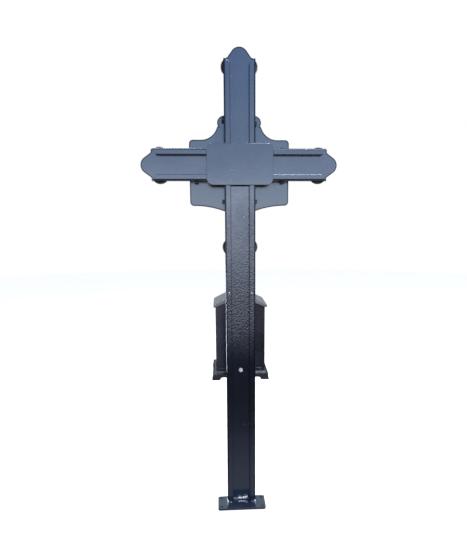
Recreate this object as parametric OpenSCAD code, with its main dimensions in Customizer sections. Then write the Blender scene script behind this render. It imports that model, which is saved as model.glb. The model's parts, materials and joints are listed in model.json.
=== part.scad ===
// Iron grave cross with a bolted foot, a cartouche board and a hinged grave lantern.
// Frame: millimetres, +Z up, front toward -Y, origin at the middle of the four
// foot holes on the underside of the foot plate.

/* [Cross] */
// Width of the post and of every arm
cross_w = 100; // [84:1:130]
// Height of the arms' centre line above the ground
arm_z = 1195; // [900:5:1600]
// Reach of a side arm, from the post's centre line to its tip
arm_reach = 320; // [290:5:450]
// Reach of the top arm, from the arms' centre line to its tip
top_reach = 359; // [300:5:480]
// Thickness of the cross-shaped face plate
face_t = 6; // [4:1:10]

/* [Arm ends] */
// Radius of the round tip of each arm
tip_r = 29; // [22:1:32]
// Slope of the ogee below the tip, from the arm's axis (degrees)
ogee_slope = 36; // [30:1:42]
// Length of the ogee, from the tip to its ledge
ogee_h = 34; // [31:1:40]
// Radius of the hollow where the ogee meets its ledge
ogee_fillet = 6; // [3:0.5:8]

/* [Side rails] */
// Width of a side rail, seen from behind
rail_w = 19; // [14:1:26]
// Depth of a side rail, behind the face plate
rail_d = 20; // [14:1:30]
// Wall of the rail tube
rail_wall = 2; // [1.5:0.5:3]
// Rounding of a rail's outer rear edge
rail_outer_r = 4; // [2:0.5:6]
// Rounding of a rail's inner rear edge
rail_inner_r = 1.5; // [0.5:0.5:3]
// Distance from an arm's tip to the long corner of its rail ends
rail_setback = 40; // [36:1:60]
// How much shorter the inner corner of a mitred rail end is
rail_mitre = 12; // [4:1:18]

/* [Rear cover plate] */
// Width of the cover plate over the crossing
cover_w = 214; // [180:1:300]
// Height of the cover plate
cover_h = 130; // [110:1:180]
// Thickness of the cover plate
cover_t = 4; // [2:0.5:6]
// Corner radius of the cover plate
cover_r = 20; // [5:1:40]

/* [Foot plate] */
// Width of the foot plate
base_w = 170; // [160:1:240]
// Depth of the foot plate, front to back
base_d = 68; // [64:1:120]
// Thickness of the foot plate
base_t = 8; // [5:1:15]
// Corner radius of the foot plate
base_r = 7; // [2:1:10]
// Spacing of the foot holes across the plate
hole_dx = 146; // [130:1:150]
// Spacing of the foot holes front to back
hole_dy = 46; // [36:1:50]
// Diameter of the foot holes
hole_d = 9; // [7:0.5:12]
// How far the rails' rear faces stand behind the middle of the foot holes
rail_back = 1; // [-3:1:3]

/* [Cartouche board] */
// Width of the board
board_w = 330; // [300:2:400]
// Top edge of the board's wings, above the arms' centre line
board_top = 85; // [75:1:110]
// Bottom edge of the board's wings, below the arms' centre line
board_drop = 128; // [110:1:150]
// Thickness of the board
board_t = 3; // [2:0.5:5]
// Corner radius of the board's wings
board_r = 13; // [5:1:25]
// Width of the board's neck, across its two ears
neck_w = 144; // [136:1:170]
// Radius of each ear at the neck
ear_r = 23; // [18:1:26]
// Height of the ears' centres above the arms' centre line
ear_z = 138; // [132:1:150]
// Radius of the sweep from the neck to a wing
sweep_r = 55; // [50:1:62]
// Radius of the crest between the ears
crest_r = 60; // [52:1:70]
// Height of the crest above the arms' centre line
crest_z = 175; // [168:1:190]
// Radius of the long sweep under each wing
under_r = 290; // [240:5:340]
// Distance from the centre line at which the lower sweep starts
under_x = 152; // [130:1:152]
// Radius of the pendant below the board
pendant_r = 44; // [40:1:48]
// Drop of the pendant's centre below the arms' centre line
pendant_z = 143; // [136:1:150]
// Width of the raised border on the board's front
border_w = 5; // [3:0.5:10]
// Height of the raised border
border_h = 2; // [1:0.5:4]

/* [Spacer bars] */
// Gap between the face plate and the board
standoff = 21; // [12:1:40]
// Thickness of a spacer bar, seen from the front
spacer_w = 12; // [6:1:20]
// How far a spacer bar sticks out past each edge of the arm
spacer_over = 7; // [0:1:10]
// Height of the top spacer bar above the arms' centre line
spacer_up = 139; // [110:1:150]
// Tilt of the top spacer bar as it was welded on (degrees)
spacer_tilt = 7; // [0:1:10]
// Distance of the side spacer bars from the post's centre line
spacer_out = 142; // [80:1:148]
// Drop of the lower spacer bar below the arms' centre line
spacer_down = 115; // [90:1:140]

/* [Rosettes] */
// Radius of each of the four lobes
lobe_r = 30; // [26:1:34]
// Distance of a lobe's centre from the rosette's centre
lobe_c = 29; // [24:1:32]
// Thickness of the rosette's rim, front to back
rim_t = 5; // [4:0.5:8]
// Wall of the casting
cast_wall = 3; // [2:0.5:4]
// Rise of each lobe's dome in front of the rim
dome_h = 8; // [5:0.5:12]
// Radius of the middle boss
boss_r = 11; // [8:0.5:15]
// Height of the middle boss in front of the rim
boss_h = 13; // [9:0.5:18]
// Distance of the top rosette's centre from the top tip
top_rosette_in = 57; // [55:1:75]
// Distance of a side rosette's centre from its tip
side_rosette_in = 61; // [59:1:75]
// Drop of the post rosette's centre below the arms' centre line
post_rosette_drop = 265; // [220:5:320]

/* [Lantern] */
// Height of the lantern's feet above the ground
lantern_z = 462; // [200:1:500]
// Width of the lantern's case
case_w = 172; // [130:1:210]
// Depth of the lantern's case, front to back
case_d = 146; // [120:1:200]
// Height of the case's side walls
case_h = 238; // [200:1:300]
// Thickness of the case's sheet walls
case_wall = 2.5; // [1.5:0.5:4]
// Width of the frame around each recessed wall panel
panel_edge = 9; // [6:0.5:20]
// Depth of the recessed wall panels
panel_in = 1; // [0.5:0.25:1.25]
// Overhang of the base moulding past the case
base_over = 12; // [9:1:20]
// How far the feet flare out past the moulding
foot_flare = 2.5; // [0:0.5:4]
// Height of the bracket feet
foot_h = 10; // [6:1:20]
// Length of a bracket foot along the base's edge
foot_len = 26; // [18:1:40]
// Height of the base's upright band
band_h = 12; // [8:1:20]
// Height of the hollow moulding above the band
cove_h = 8; // [5:1:9]
// Wall of the cast base
base_wall = 4; // [3:0.5:6]
// Overhang of the roof past the case
roof_over = 7; // [4:1:9]
// Slope of the roof (degrees)
roof_slope = 26; // [20:1:40]
// Thickness of the roof sheet
roof_t = 3; // [2:0.5:5]
// Depth of the roof's edge boards at the eaves
eave_h = 8; // [5:1:14]
// Thickness of the roof's edge boards
eave_t = 3; // [2:0.5:5]
// Radius of the arch under the gable boards
arch_r = 170; // [140:5:260]

/* [Lantern door] */
// Width of the case's front left showing at each side of the door
door_side = 12; // [10:1:20]
// Height of the case's front left showing above the door
door_head = 14; // [12:1:40]
// Thickness of the door frame
door_t = 6; // [5:0.5:8]
// Width of the door frame's members
stile_w = 16; // [14:0.5:24]
// Height of the door's lower edge above the case's lower edge
door_lift = 8; // [5:1:15]
// Gap between the door and the case's front
door_gap = 0.8; // [0.5:0.1:2]
// Thickness of the door's glass
glass_t = 3; // [2:0.5:3.5]
// Depth of the step that holds the glass
rebate = 4; // [3:0.5:6]
// Outside diameter of the hinge barrels
barrel_d = 8; // [7:0.5:10]
// Diameter of the hinge pins
pin_d = 4; // [3:0.5:5]
// Length of each half of a hinge
knuckle_h = 14; // [10:1:20]
// Distance of the hinges from the door's upper and lower edges
hinge_in = 34; // [25:1:60]
// Diameter of the door knob
knob_d = 14; // [10:1:20]

/* [Lantern fixing] */
// Diameter of the fixing bolt
bolt_d = 8; // [6:1:10]
// Height of the bolt above the case's lower edge
bolt_up = 9; // [9:1:30]
// Width across the flats of the nut and the bolt's head
nut_af = 13; // [10:1:16]
// Height of the nut
nut_h = 6.5; // [5:0.5:8]
// Height of the bolt's head
head_h = 5.5; // [4:0.5:7]
// Length of bolt showing behind the nut
bolt_tail = 5; // [2:1:8]
// Outside diameter of the spacer sleeve
sleeve_d = 14; // [13:1:18]

/* [Fits] */
// Clearance around the fixing bolt and the knob's stem in their holes
hole_gap = 0.2; // [0.1:0.05:0.4]
// Running clearance around a hinge pin
pin_gap = 0.08; // [0.02:0.01:0.1]
// Gap around loose flat pieces, such as the glass in its step
seat_gap = 0.3; // [0.2:0.05:0.5]

/* [Hidden] */
$fn = 96;
half_w = cross_w / 2;
top_tip = arm_z + top_reach;
face_back = rail_back - rail_d;
face_front = face_back - face_t;
board_back = face_front - standoff;
lantern_y = face_front - case_d / 2 - base_over;
case_z = lantern_z + foot_h + band_h + cove_h;
case_top = case_z + case_h;
case_front = lantern_y - case_d / 2;
eave_half = case_w / 2 + roof_over;
eave_bottom = case_top - eave_h - roof_over * tan(roof_slope) + roof_t / cos(roof_slope);
roof_rise = eave_half * tan(roof_slope);
arch_half = case_w / 2 - 2;
arch_z = eave_bottom - sqrt(arch_r * arch_r - arch_half * arch_half);
door_w = case_w - 2 * door_side;
door_h = case_h - door_lift - door_head;
door_z = case_z + door_lift;
pin_y = case_front - door_gap - barrel_d / 2;
pin_x = -door_w / 2 - barrel_d / 2;
bolt_z = case_z + bolt_up;
nut_y = face_back + nut_h;
over = 0.01;
arm_lap = 10;

// Points of an arc in the plane, from angle a0 to angle a1.
function arc(x, y, r, a0, a1, n = 16) =
    [for (i = [0:n]) let (a = a0 + (a1 - a0) * i / n) [x + r * cos(a), y + r * sin(a)]];

// Stands a flat outline drawn in X and Z upright, with its front face at y_front and its thickness behind it.
module upright(y_front, thick) {
    translate([0, y_front + thick, 0])
        rotate([90, 0, 0])
            linear_extrude(thick)
                children();
}

module rounded(w, h, r) {
    square([w - 2 * r, h], center = true);
    square([w, h - 2 * r], center = true);
    for (x = [-1, 1], y = [-1, 1])
        translate([x * (w / 2 - r), y * (h / 2 - r)])
            circle(r);
}

// Outline of an arm's end with its tip at the origin, the arm running down -Y.
module ogee_end() {
    touch = [tip_r * cos(ogee_slope), -tip_r + tip_r * sin(ogee_slope)];
    hollow_y = -ogee_h + ogee_fillet;
    along = (touch[1] - hollow_y + ogee_fillet * sin(ogee_slope)) / cos(ogee_slope);
    hollow_x = touch[0] + along * sin(ogee_slope) + ogee_fillet * cos(ogee_slope);
    half = concat(
        arc(0, -tip_r, tip_r, 90, ogee_slope, 20),
        arc(hollow_x, hollow_y, ogee_fillet, 180 + ogee_slope, 270, 8)
    );
    left = [for (p = half) [-p[0], p[1]]];
    right = [for (i = [len(half) - 1:-1:1]) half[i]];
    foot = [[-half_w, -ogee_h], [-half_w, -2 * ogee_h], [half_w, -2 * ogee_h], [half_w, -ogee_h]];
    polygon(concat(left, foot, right));
}

// A straight arm of the face plate along +Y, from the crossing's centre to its tip.
module plate_arm(reach) {
    translate([-half_w, 0])
        square([cross_w, reach - ogee_h - arm_lap]);
    translate([0, reach])
        ogee_end();
}

module face_outline() {
    translate([-half_w, base_t])
        square([cross_w, arm_z - base_t + 1]);
    translate([0, arm_z]) {
        plate_arm(top_reach);
        for (a = [-90, 90])
            rotate(a)
                plate_arm(arm_reach);
    }
}

module face_plate() {
    color("slategray")
        difference() {
            upright(face_front, face_t)
                face_outline();
            translate([0, face_back + 1, bolt_z])
                rotate([90, 0, 0])
                    cylinder(h = face_t + 2, d = bolt_d + 2 * hole_gap);
        }
}

// Section of a right-hand rail: X runs outward from its inner face, Y runs backward from the face plate.
module rail_section(inset) {
    w = rail_w - 2 * inset;
    d = rail_d - 2 * inset;
    ro = max(rail_outer_r - inset, 0.5);
    ri = max(rail_inner_r - inset, 0.5);
    translate([inset, inset]) {
        square([w, d - ro]);
        translate([ri, 0])
            square([w - ri - ro, d]);
        translate([ri, d - ri])
            circle(ri);
        translate([w - ro, d - ro])
            circle(ro);
    }
}

// A rail tube standing on Z = 0, closed and mitred at its top, its inner corner lower than its outer one.
module rail(length) {
    cut = atan(rail_mitre / rail_w);
    difference() {
        linear_extrude(length)
            rail_section(0);
        translate([0, 0, -1])
            linear_extrude(length - rail_mitre - rail_wall)
                rail_section(rail_wall);
        translate([rail_w, -1, length])
            rotate([0, -cut, 0])
                translate([-3 * rail_w, 0, 0])
                    cube([4 * rail_w, rail_d + 2, 3 * rail_mitre]);
    }
}

// The right-hand rail of an upright arm; the arm's centre line is the Z axis.
module right_rail(length) {
    translate([half_w - rail_w, face_back, 0])
        rail(length);
}

module post_rail(side) {
    color("slategray")
        mirror([side < 0 ? 1 : 0, 0, 0])
            translate([0, 0, base_t])
                right_rail(top_tip - rail_setback - base_t);
}

// Arm rails butt against the post's rails; turn is +1 on the right and -1 on the left.
module arm_rail(turn, upper) {
    color("slategray")
        translate([0, 0, arm_z])
            mirror([turn < 0 ? 1 : 0, 0, 0])
                mirror([0, 0, upper ? 0 : 1])
                    translate([half_w, 0, 0])
                        rotate([0, 90, 0])
                            mirror([1, 0, 0])
                                right_rail(arm_reach - rail_setback - half_w);
}

module rear_cover() {
    color("steelblue")
        translate([0, 0, arm_z])
            upright(rail_back, cover_t)
                rounded(cover_w, cover_h, cover_r);
}

module foot_plate() {
    color("dimgray")
        difference() {
            linear_extrude(base_t)
                rounded(base_w, base_d, base_r);
            for (x = [-1, 1], y = [-1, 1])
                translate([x * hole_dx / 2, y * hole_dy / 2, -1])
                    cylinder(h = base_t + 2, d = hole_d);
        }
}

// Outline of the cartouche, with the arms' centre line at Y = 0; grow below zero draws it smaller.
module board_outline(grow = 0) {
    top = board_top + grow;
    bottom = -board_drop - grow;
    corner = board_r + grow;
    sweep_x = neck_w / 2 + sqrt(sweep_r * sweep_r - pow(board_top + sweep_r - ear_z + ear_r / 2, 2));
    translate([0, (top + bottom) / 2])
        rounded(board_w + 2 * grow, top - bottom, corner);
    difference() {
        translate([-sweep_x, 0])
            square([2 * sweep_x, ear_z - ear_r / 2]);
        for (x = [-1, 1])
            translate([x * sweep_x, board_top + sweep_r])
                circle(sweep_r - grow);
    }
    for (x = [-1, 1])
        translate([x * (neck_w / 2 - ear_r), ear_z])
            circle(ear_r + grow);
    translate([-neck_w / 2 + ear_r, 0])
        square([neck_w - 2 * ear_r, ear_z + ear_r + grow]);
    translate([0, crest_z - crest_r])
        circle(crest_r + grow);
    difference() {
        translate([-under_x, -pendant_z - ear_r / 2])
            square([2 * under_x, pendant_z]);
        for (x = [-1, 1])
            translate([x * under_x, -board_drop - under_r])
                circle(under_r - grow);
        translate([-under_x, -pendant_z - ear_r - over])
            square([2 * under_x, ear_r - pendant_r / 3]);
    }
    translate([0, -pendant_z])
        circle(pendant_r + grow);
}

module cartouche() {
    color("slategray")
        translate([0, 0, arm_z]) {
            upright(board_back - board_t, board_t)
                board_outline();
            upright(board_back - board_t - border_h, border_h + over)
                difference() {
                    board_outline(-border_w / 2);
                    board_outline(-border_w * 3 / 2);
                }
        }
}

// A spacer bar across an arm, centred at the given point of the cross and turned from X by an angle.
module spacer(x, z, turn) {
    length = cross_w + 2 * spacer_over;
    color("dimgray")
        translate([x, board_back + standoff / 2, z])
            rotate([0, turn, 0])
                cube([length, standoff, spacer_w], center = true);
}

// A shallow dome of the given foot radius and rise, standing on Z = 0.
module dome(foot_r, rise) {
    ball_r = (foot_r * foot_r + rise * rise) / (2 * rise);
    intersection() {
        translate([0, 0, rise - ball_r])
            sphere(ball_r);
        cylinder(h = rise + 1, r = foot_r);
    }
}

module lobes(radius) {
    for (a = [0:90:270])
        rotate(a)
            translate([lobe_c, 0])
                circle(radius);
}

// A hollow-backed cast rosette, lying with its back on Z = 0 and its domes up.
module rosette_casting() {
    difference() {
        union() {
            linear_extrude(rim_t)
                lobes(lobe_r);
            for (a = [0:90:270])
                rotate(a)
                    translate([lobe_c, 0, rim_t])
                        dome(lobe_r - cast_wall, dome_h);
        }
        translate([0, 0, -1])
            linear_extrude(rim_t + 1 - cast_wall / 2)
                lobes(lobe_r - cast_wall);
        for (a = [0:90:270])
            rotate(a)
                translate([lobe_c, 0, rim_t - cast_wall])
                    dome(lobe_r - 2 * cast_wall, dome_h);
    }
    cylinder(h = rim_t + boss_h - boss_r / 2, r = boss_r);
    translate([0, 0, rim_t + boss_h - boss_r / 2])
        dome(boss_r, boss_r / 2);
}

module rosette(x, z) {
    color("gray")
        translate([x, face_front, z])
            rotate([90, 0, 0])
                rosette_casting();
}

// Half of the base moulding's section, from the feet up: X is the distance from the lantern's centre.
function base_half(case_half) = let (
    band_half = case_half + base_over,
    low = lantern_z + foot_h,
    band_top = low + band_h,
    ledge = case_half + 1.5,
    cove_r = min(band_half - 2 - ledge, cove_h - 1)
) concat(
    [[band_half + foot_flare, lantern_z], [band_half + foot_flare, lantern_z + foot_h / 3], [band_half, low]],
    [[band_half, band_top], [ledge + cove_r, band_top]],
    arc(ledge + cove_r, band_top + cove_r, cove_r, 270, 180, 8),
    [[ledge, case_z]]
);

module base_section(size) {
    right = base_half(size / 2);
    left = [for (i = [len(right) - 1:-1:0]) [-right[i][0], right[i][1]]];
    polygon(concat(right, left));
}

// A section run along X and along Y, so that the moulding mitres at its four corners.
module base_block() {
    long = 2 * max(case_w, case_d);
    intersection() {
        translate([0, long / 2, 0])
            rotate([90, 0, 0])
                linear_extrude(long)
                    base_section(case_w);
        rotate([0, 0, 90])
            translate([0, long / 2, 0])
                rotate([90, 0, 0])
                    linear_extrude(long)
                        base_section(case_d);
    }
}

// The opening between two bracket feet, with a round shoulder at each end.
module foot_gap(size) {
    span = size + 2 * base_over - 2 * foot_len;
    translate([-span / 2 + foot_h, -1])
        square([span - 2 * foot_h, foot_h + 1]);
    for (x = [-1, 1])
        translate([x * (span / 2 - foot_h), 0])
            circle(foot_h);
}

module lantern_base() {
    pocket_w = case_w + 2 * base_over - 2 * base_wall;
    pocket_d = case_d + 2 * base_over - 2 * base_wall;
    color("dimgray")
        translate([0, lantern_y, 0])
            difference() {
                base_block();
                translate([-pocket_w / 2, -pocket_d / 2, lantern_z - 1])
                    cube([pocket_w, pocket_d, 1 + foot_h + band_h - base_wall]);
                for (side = [[0, case_w, case_d], [90, case_d, case_w]])
                    rotate(side[0])
                        translate([0, side[2], lantern_z])
                            rotate([90, 0, 0])
                                linear_extrude(2 * side[2])
                                    foot_gap(side[1]);
                translate([-case_w, face_front - lantern_y, 0])
                    cube([2 * case_w, case_w, 2 * case_z]);
            }
}

// The case's gable wall outline, up to the underside of the roof.
module gable() {
    rise = (case_w / 2 - over) * tan(roof_slope);
    polygon([
        [-case_w / 2, case_z], [case_w / 2, case_z], [case_w / 2, case_top],
        [0, case_top + rise], [-case_w / 2, case_top]
    ]);
}

// Recessed panel of a wall of the given width, with its arched top.
module panel(size) {
    half = size / 2 - panel_edge;
    crown = case_top - panel_edge;
    shoulder = crown - (arch_r - sqrt(arch_r * arch_r - half * half));
    intersection() {
        translate([-half, case_z + panel_edge])
            square([2 * half, crown - case_z - panel_edge]);
        union() {
            translate([-half, case_z + panel_edge])
                square([2 * half, shoulder - case_z - panel_edge]);
            translate([0, crown - arch_r])
                circle(arch_r);
        }
    }
}

module door_opening() {
    w = door_w - 2 * stile_w + 2 * rebate;
    translate([-w / 2, door_z + stile_w - rebate])
        square([w, door_h - 2 * stile_w + 2 * rebate]);
}

module case_shell() {
    inner_d = case_d - 2 * case_wall;
    inner_w = case_w - 2 * case_wall;
    difference() {
        union() {
            translate([-case_w / 2, -case_d / 2, case_z])
                cube([case_w, case_d, case_h]);
            for (y = [-case_d / 2, case_d / 2 - case_wall])
                upright(y, case_wall)
                    gable();
        }
        translate([-inner_w / 2, -inner_d / 2, case_z - 1])
            cube([inner_w, inner_d, case_h + case_w]);
        for (side = [[90, case_w, case_d], [180, case_d, case_w], [270, case_w, case_d]])
            rotate(side[0])
                upright(-side[1] / 2 - 1, 1 + panel_in)
                    panel(side[2]);
        upright(-case_d / 2 - 1, case_wall + 2)
            door_opening();
        translate([0, case_d / 2 + 1, bolt_z])
            rotate([90, 0, 0])
                cylinder(h = case_wall + 2, d = bolt_d + 2 * hole_gap);
    }
}

// Half of a hinge: a barrel with a leaf that reaches it, bored for the pin.
module knuckle(z, toward_x, toward_y) {
    difference() {
        union() {
            translate([pin_x, pin_y, z])
                cylinder(h = knuckle_h - seat_gap, d = barrel_d);
            translate([pin_x, min(pin_y, toward_y), z])
                cube([toward_x, abs(toward_y - pin_y), knuckle_h - seat_gap]);
        }
        translate([pin_x, pin_y, z - 1])
            cylinder(h = knuckle_h + 2, d = pin_d + 2 * pin_gap);
    }
}

function hinge_z(upper) = upper ? door_z + door_h - hinge_in : door_z + hinge_in;

module lantern_case() {
    color("darkslategray") {
        translate([0, lantern_y, 0])
            case_shell();
        for (upper = [false, true])
            knuckle(hinge_z(upper) - knuckle_h, barrel_d / 2 - door_gap, case_front + over);
    }
}

module roof_outline() {
    polygon([
        [-eave_half, eave_bottom], [eave_half, eave_bottom], [eave_half, eave_bottom + eave_h],
        [0, eave_bottom + eave_h + roof_rise], [-eave_half, eave_bottom + eave_h]
    ]);
}

// Space under the roof sheet, between the eave boards.
module roof_hollow() {
    lift = eave_bottom + eave_h - roof_t / cos(roof_slope);
    half = eave_half - eave_t;
    polygon([
        [-half, eave_bottom - 1], [half, eave_bottom - 1],
        [half, lift + eave_t * tan(roof_slope)],
        [0, lift + roof_rise], [-half, lift + eave_t * tan(roof_slope)]
    ]);
}

module lantern_roof() {
    depth = case_d + 2 * roof_over;
    color("lightslategray")
        difference() {
            upright(lantern_y - depth / 2, depth)
                roof_outline();
            upright(lantern_y - depth / 2 + eave_t, depth - 2 * eave_t)
                roof_hollow();
            upright(lantern_y - depth / 2 - 1, depth + 2)
                translate([0, arch_z])
                    circle(arch_r);
        }
}

module lantern_bolt() {
    head_y = lantern_y + case_d / 2 - case_wall;
    color("silver")
        translate([0, head_y, bolt_z])
            rotate([-90, 0, 0]) {
                cylinder(h = nut_y + bolt_tail - head_y, d = bolt_d);
                translate([0, 0, -head_h])
                    cylinder(h = head_h, r = nut_af / 2 / cos(30), $fn = 6);
            }
}

// Spacer sleeve between the case's rear wall and the face plate.
module lantern_sleeve() {
    color("dimgray")
        translate([0, lantern_y + case_d / 2, bolt_z])
            rotate([-90, 0, 0])
                difference() {
                    cylinder(h = base_over, d = sleeve_d);
                    translate([0, 0, -1])
                        cylinder(h = base_over + 2, d = bolt_d + 2 * hole_gap);
                }
}

module lantern_nut() {
    color("silver")
        translate([0, face_back, bolt_z])
            rotate([-90, 0, 0])
                difference() {
                    cylinder(h = nut_h, r = nut_af / 2 / cos(30), $fn = 6);
                    translate([0, 0, -1])
                        cylinder(h = nut_h + 2, d = bolt_d + 2 * hole_gap);
                }
}

module hinge_pin(upper) {
    color("silver")
        translate([pin_x, pin_y, hinge_z(upper) - knuckle_h]) {
            cylinder(h = 2 * knuckle_h, d = pin_d);
            translate([0, 0, -2])
                cylinder(h = 2, d = pin_d + 2);
        }
}

module door_light(grow) {
    w = door_w - 2 * stile_w + 2 * grow;
    h = door_h - 2 * stile_w + 2 * grow;
    translate([-w / 2, door_z + stile_w - grow])
        square([w, h]);
}

module lantern_door() {
    back = case_front - door_gap;
    color("slategray") {
        difference() {
            upright(back - door_t, door_t)
                translate([-door_w / 2, door_z])
                    square([door_w, door_h]);
            upright(back - door_t - 1, door_t + 2)
                door_light(0);
            upright(back - glass_t, glass_t + 1)
                door_light(rebate);
            translate([door_w / 2 - stile_w / 2, back + 1, door_z + door_h / 2])
                rotate([90, 0, 0])
                    cylinder(h = door_t + 2, d = pin_d + 2 * hole_gap);
        }
        for (upper = [false, true])
            knuckle(hinge_z(upper), barrel_d / 2 + over, back - door_t);
    }
}

module door_glass() {
    color("lightblue", 0.4)
        upright(case_front - door_gap - glass_t, glass_t)
            door_light(rebate - seat_gap);
}

module door_knob() {
    knob_y = case_front - door_gap - door_t;
    color("silver")
        translate([door_w / 2 - stile_w / 2, knob_y, door_z + door_h / 2])
            rotate([90, 0, 0]) {
                translate([0, 0, -door_t])
                    cylinder(h = door_t + 2, d = pin_d);
                cylinder(h = 2, d = knob_d * 0.6);
                translate([0, 0, 2 + knob_d / 2 - 1])
                    sphere(d = knob_d);
            }
}

face_plate();
post_rail(-1);  // post_rail_left
post_rail(1);  // post_rail_right
arm_rail(-1, true);  // arm_rail_left_upper
arm_rail(-1, false);  // arm_rail_left_lower
arm_rail(1, true);  // arm_rail_right_upper
arm_rail(1, false);  // arm_rail_right_lower
rear_cover();
foot_plate();
cartouche();
spacer(0, arm_z + spacer_up, -spacer_tilt);  // spacer_top
spacer(-spacer_out, arm_z, 90);  // spacer_left
spacer(spacer_out, arm_z, 90);  // spacer_right
spacer(0, arm_z - spacer_down, 0);  // spacer_bottom
rosette(0, top_tip - top_rosette_in);  // rosette_top
rosette(-arm_reach + side_rosette_in, arm_z);  // rosette_left
rosette(arm_reach - side_rosette_in, arm_z);  // rosette_right
rosette(0, arm_z - post_rosette_drop);  // rosette_post
lantern_base();
lantern_case();
lantern_roof();
lantern_bolt();
lantern_sleeve();
lantern_nut();
hinge_pin(true);  // hinge_pin_upper
hinge_pin(false);  // hinge_pin_lower
lantern_door();
door_glass();
door_knob();
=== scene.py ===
import json
from math import atan2, cos, exp, hypot, pi, radians, sin, sqrt

import bmesh
import bpy
from mathutils import Matrix, Vector, noise


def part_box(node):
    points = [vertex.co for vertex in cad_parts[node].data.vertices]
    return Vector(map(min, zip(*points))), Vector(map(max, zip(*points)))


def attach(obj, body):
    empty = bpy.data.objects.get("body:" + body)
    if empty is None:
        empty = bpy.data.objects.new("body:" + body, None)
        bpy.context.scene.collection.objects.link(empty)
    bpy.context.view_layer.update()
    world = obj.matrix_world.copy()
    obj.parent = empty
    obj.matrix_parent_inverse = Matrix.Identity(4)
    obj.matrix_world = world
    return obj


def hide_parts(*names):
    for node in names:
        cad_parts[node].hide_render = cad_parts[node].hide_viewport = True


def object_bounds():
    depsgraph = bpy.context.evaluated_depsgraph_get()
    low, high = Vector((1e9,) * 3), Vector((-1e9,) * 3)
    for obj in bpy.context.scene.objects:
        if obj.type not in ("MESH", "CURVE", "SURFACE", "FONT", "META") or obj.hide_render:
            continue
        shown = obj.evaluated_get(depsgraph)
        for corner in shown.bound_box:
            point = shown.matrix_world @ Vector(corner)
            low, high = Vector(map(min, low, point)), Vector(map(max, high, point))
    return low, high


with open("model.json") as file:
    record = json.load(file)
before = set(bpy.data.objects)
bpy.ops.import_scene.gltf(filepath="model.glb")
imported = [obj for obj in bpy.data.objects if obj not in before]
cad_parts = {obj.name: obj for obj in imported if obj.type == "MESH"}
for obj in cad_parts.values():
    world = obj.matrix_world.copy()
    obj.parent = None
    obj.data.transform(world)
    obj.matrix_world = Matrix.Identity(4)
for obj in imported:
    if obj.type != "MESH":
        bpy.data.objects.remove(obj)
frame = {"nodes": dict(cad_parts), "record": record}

cadBox = [list(corner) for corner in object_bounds()]
mm = 0.001


cameraSetup = {
    "away": 1.350,  # metres behind the side rails
    "aside": 0.0694,  # towards +X from the post's centre line
    "height": 0.987,
    "turnDegrees": 2.81,
    "tiltDegrees": 8.48,
    "rollDegrees": 0.30,
    "lens": 26.64,  # millimetres, as is the sensor
    "sensor": 36.0,
    "nearest": 0.02,
    "farthest": 60.0,
    "shiftRight": -0.0113,
    "shiftUp": 0.0282,
}


def newObject(name, data):
    made = bpy.data.objects.new(name, data)
    bpy.context.collection.objects.link(made)
    return made


def buildCamera(setup):
    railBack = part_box("post_rail_left")[1][1]
    data = bpy.data.cameras.new("camera")
    camera = newObject("camera", data)
    data.sensor_width = setup["sensor"]
    data.lens = setup["lens"]
    data.shift_x = setup["shiftRight"]
    data.shift_y = setup["shiftUp"]
    data.clip_start = setup["nearest"]
    data.clip_end = setup["farthest"]
    turn, tilt, roll = (radians(setup[k]) for k in ("turnDegrees", "tiltDegrees", "rollDegrees"))
    forward = Vector((-sin(turn) * cos(tilt), -cos(turn) * cos(tilt), -sin(tilt)))
    right = Vector((-cos(turn), sin(turn), 0.0))
    down = forward.cross(right)
    rolledRight = right * cos(roll) + down * sin(roll)
    rolledDown = down * cos(roll) - right * sin(roll)
    place = Matrix.Identity(4)
    for row in range(3):
        place[row][0] = rolledRight[row]
        place[row][1] = -rolledDown[row]
        place[row][2] = -forward[row]
    place[0][3] = setup["aside"]
    place[1][3] = railBack + setup["away"]
    place[2][3] = setup["height"]
    camera.matrix_world = place
    bpy.context.scene.camera = camera


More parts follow.
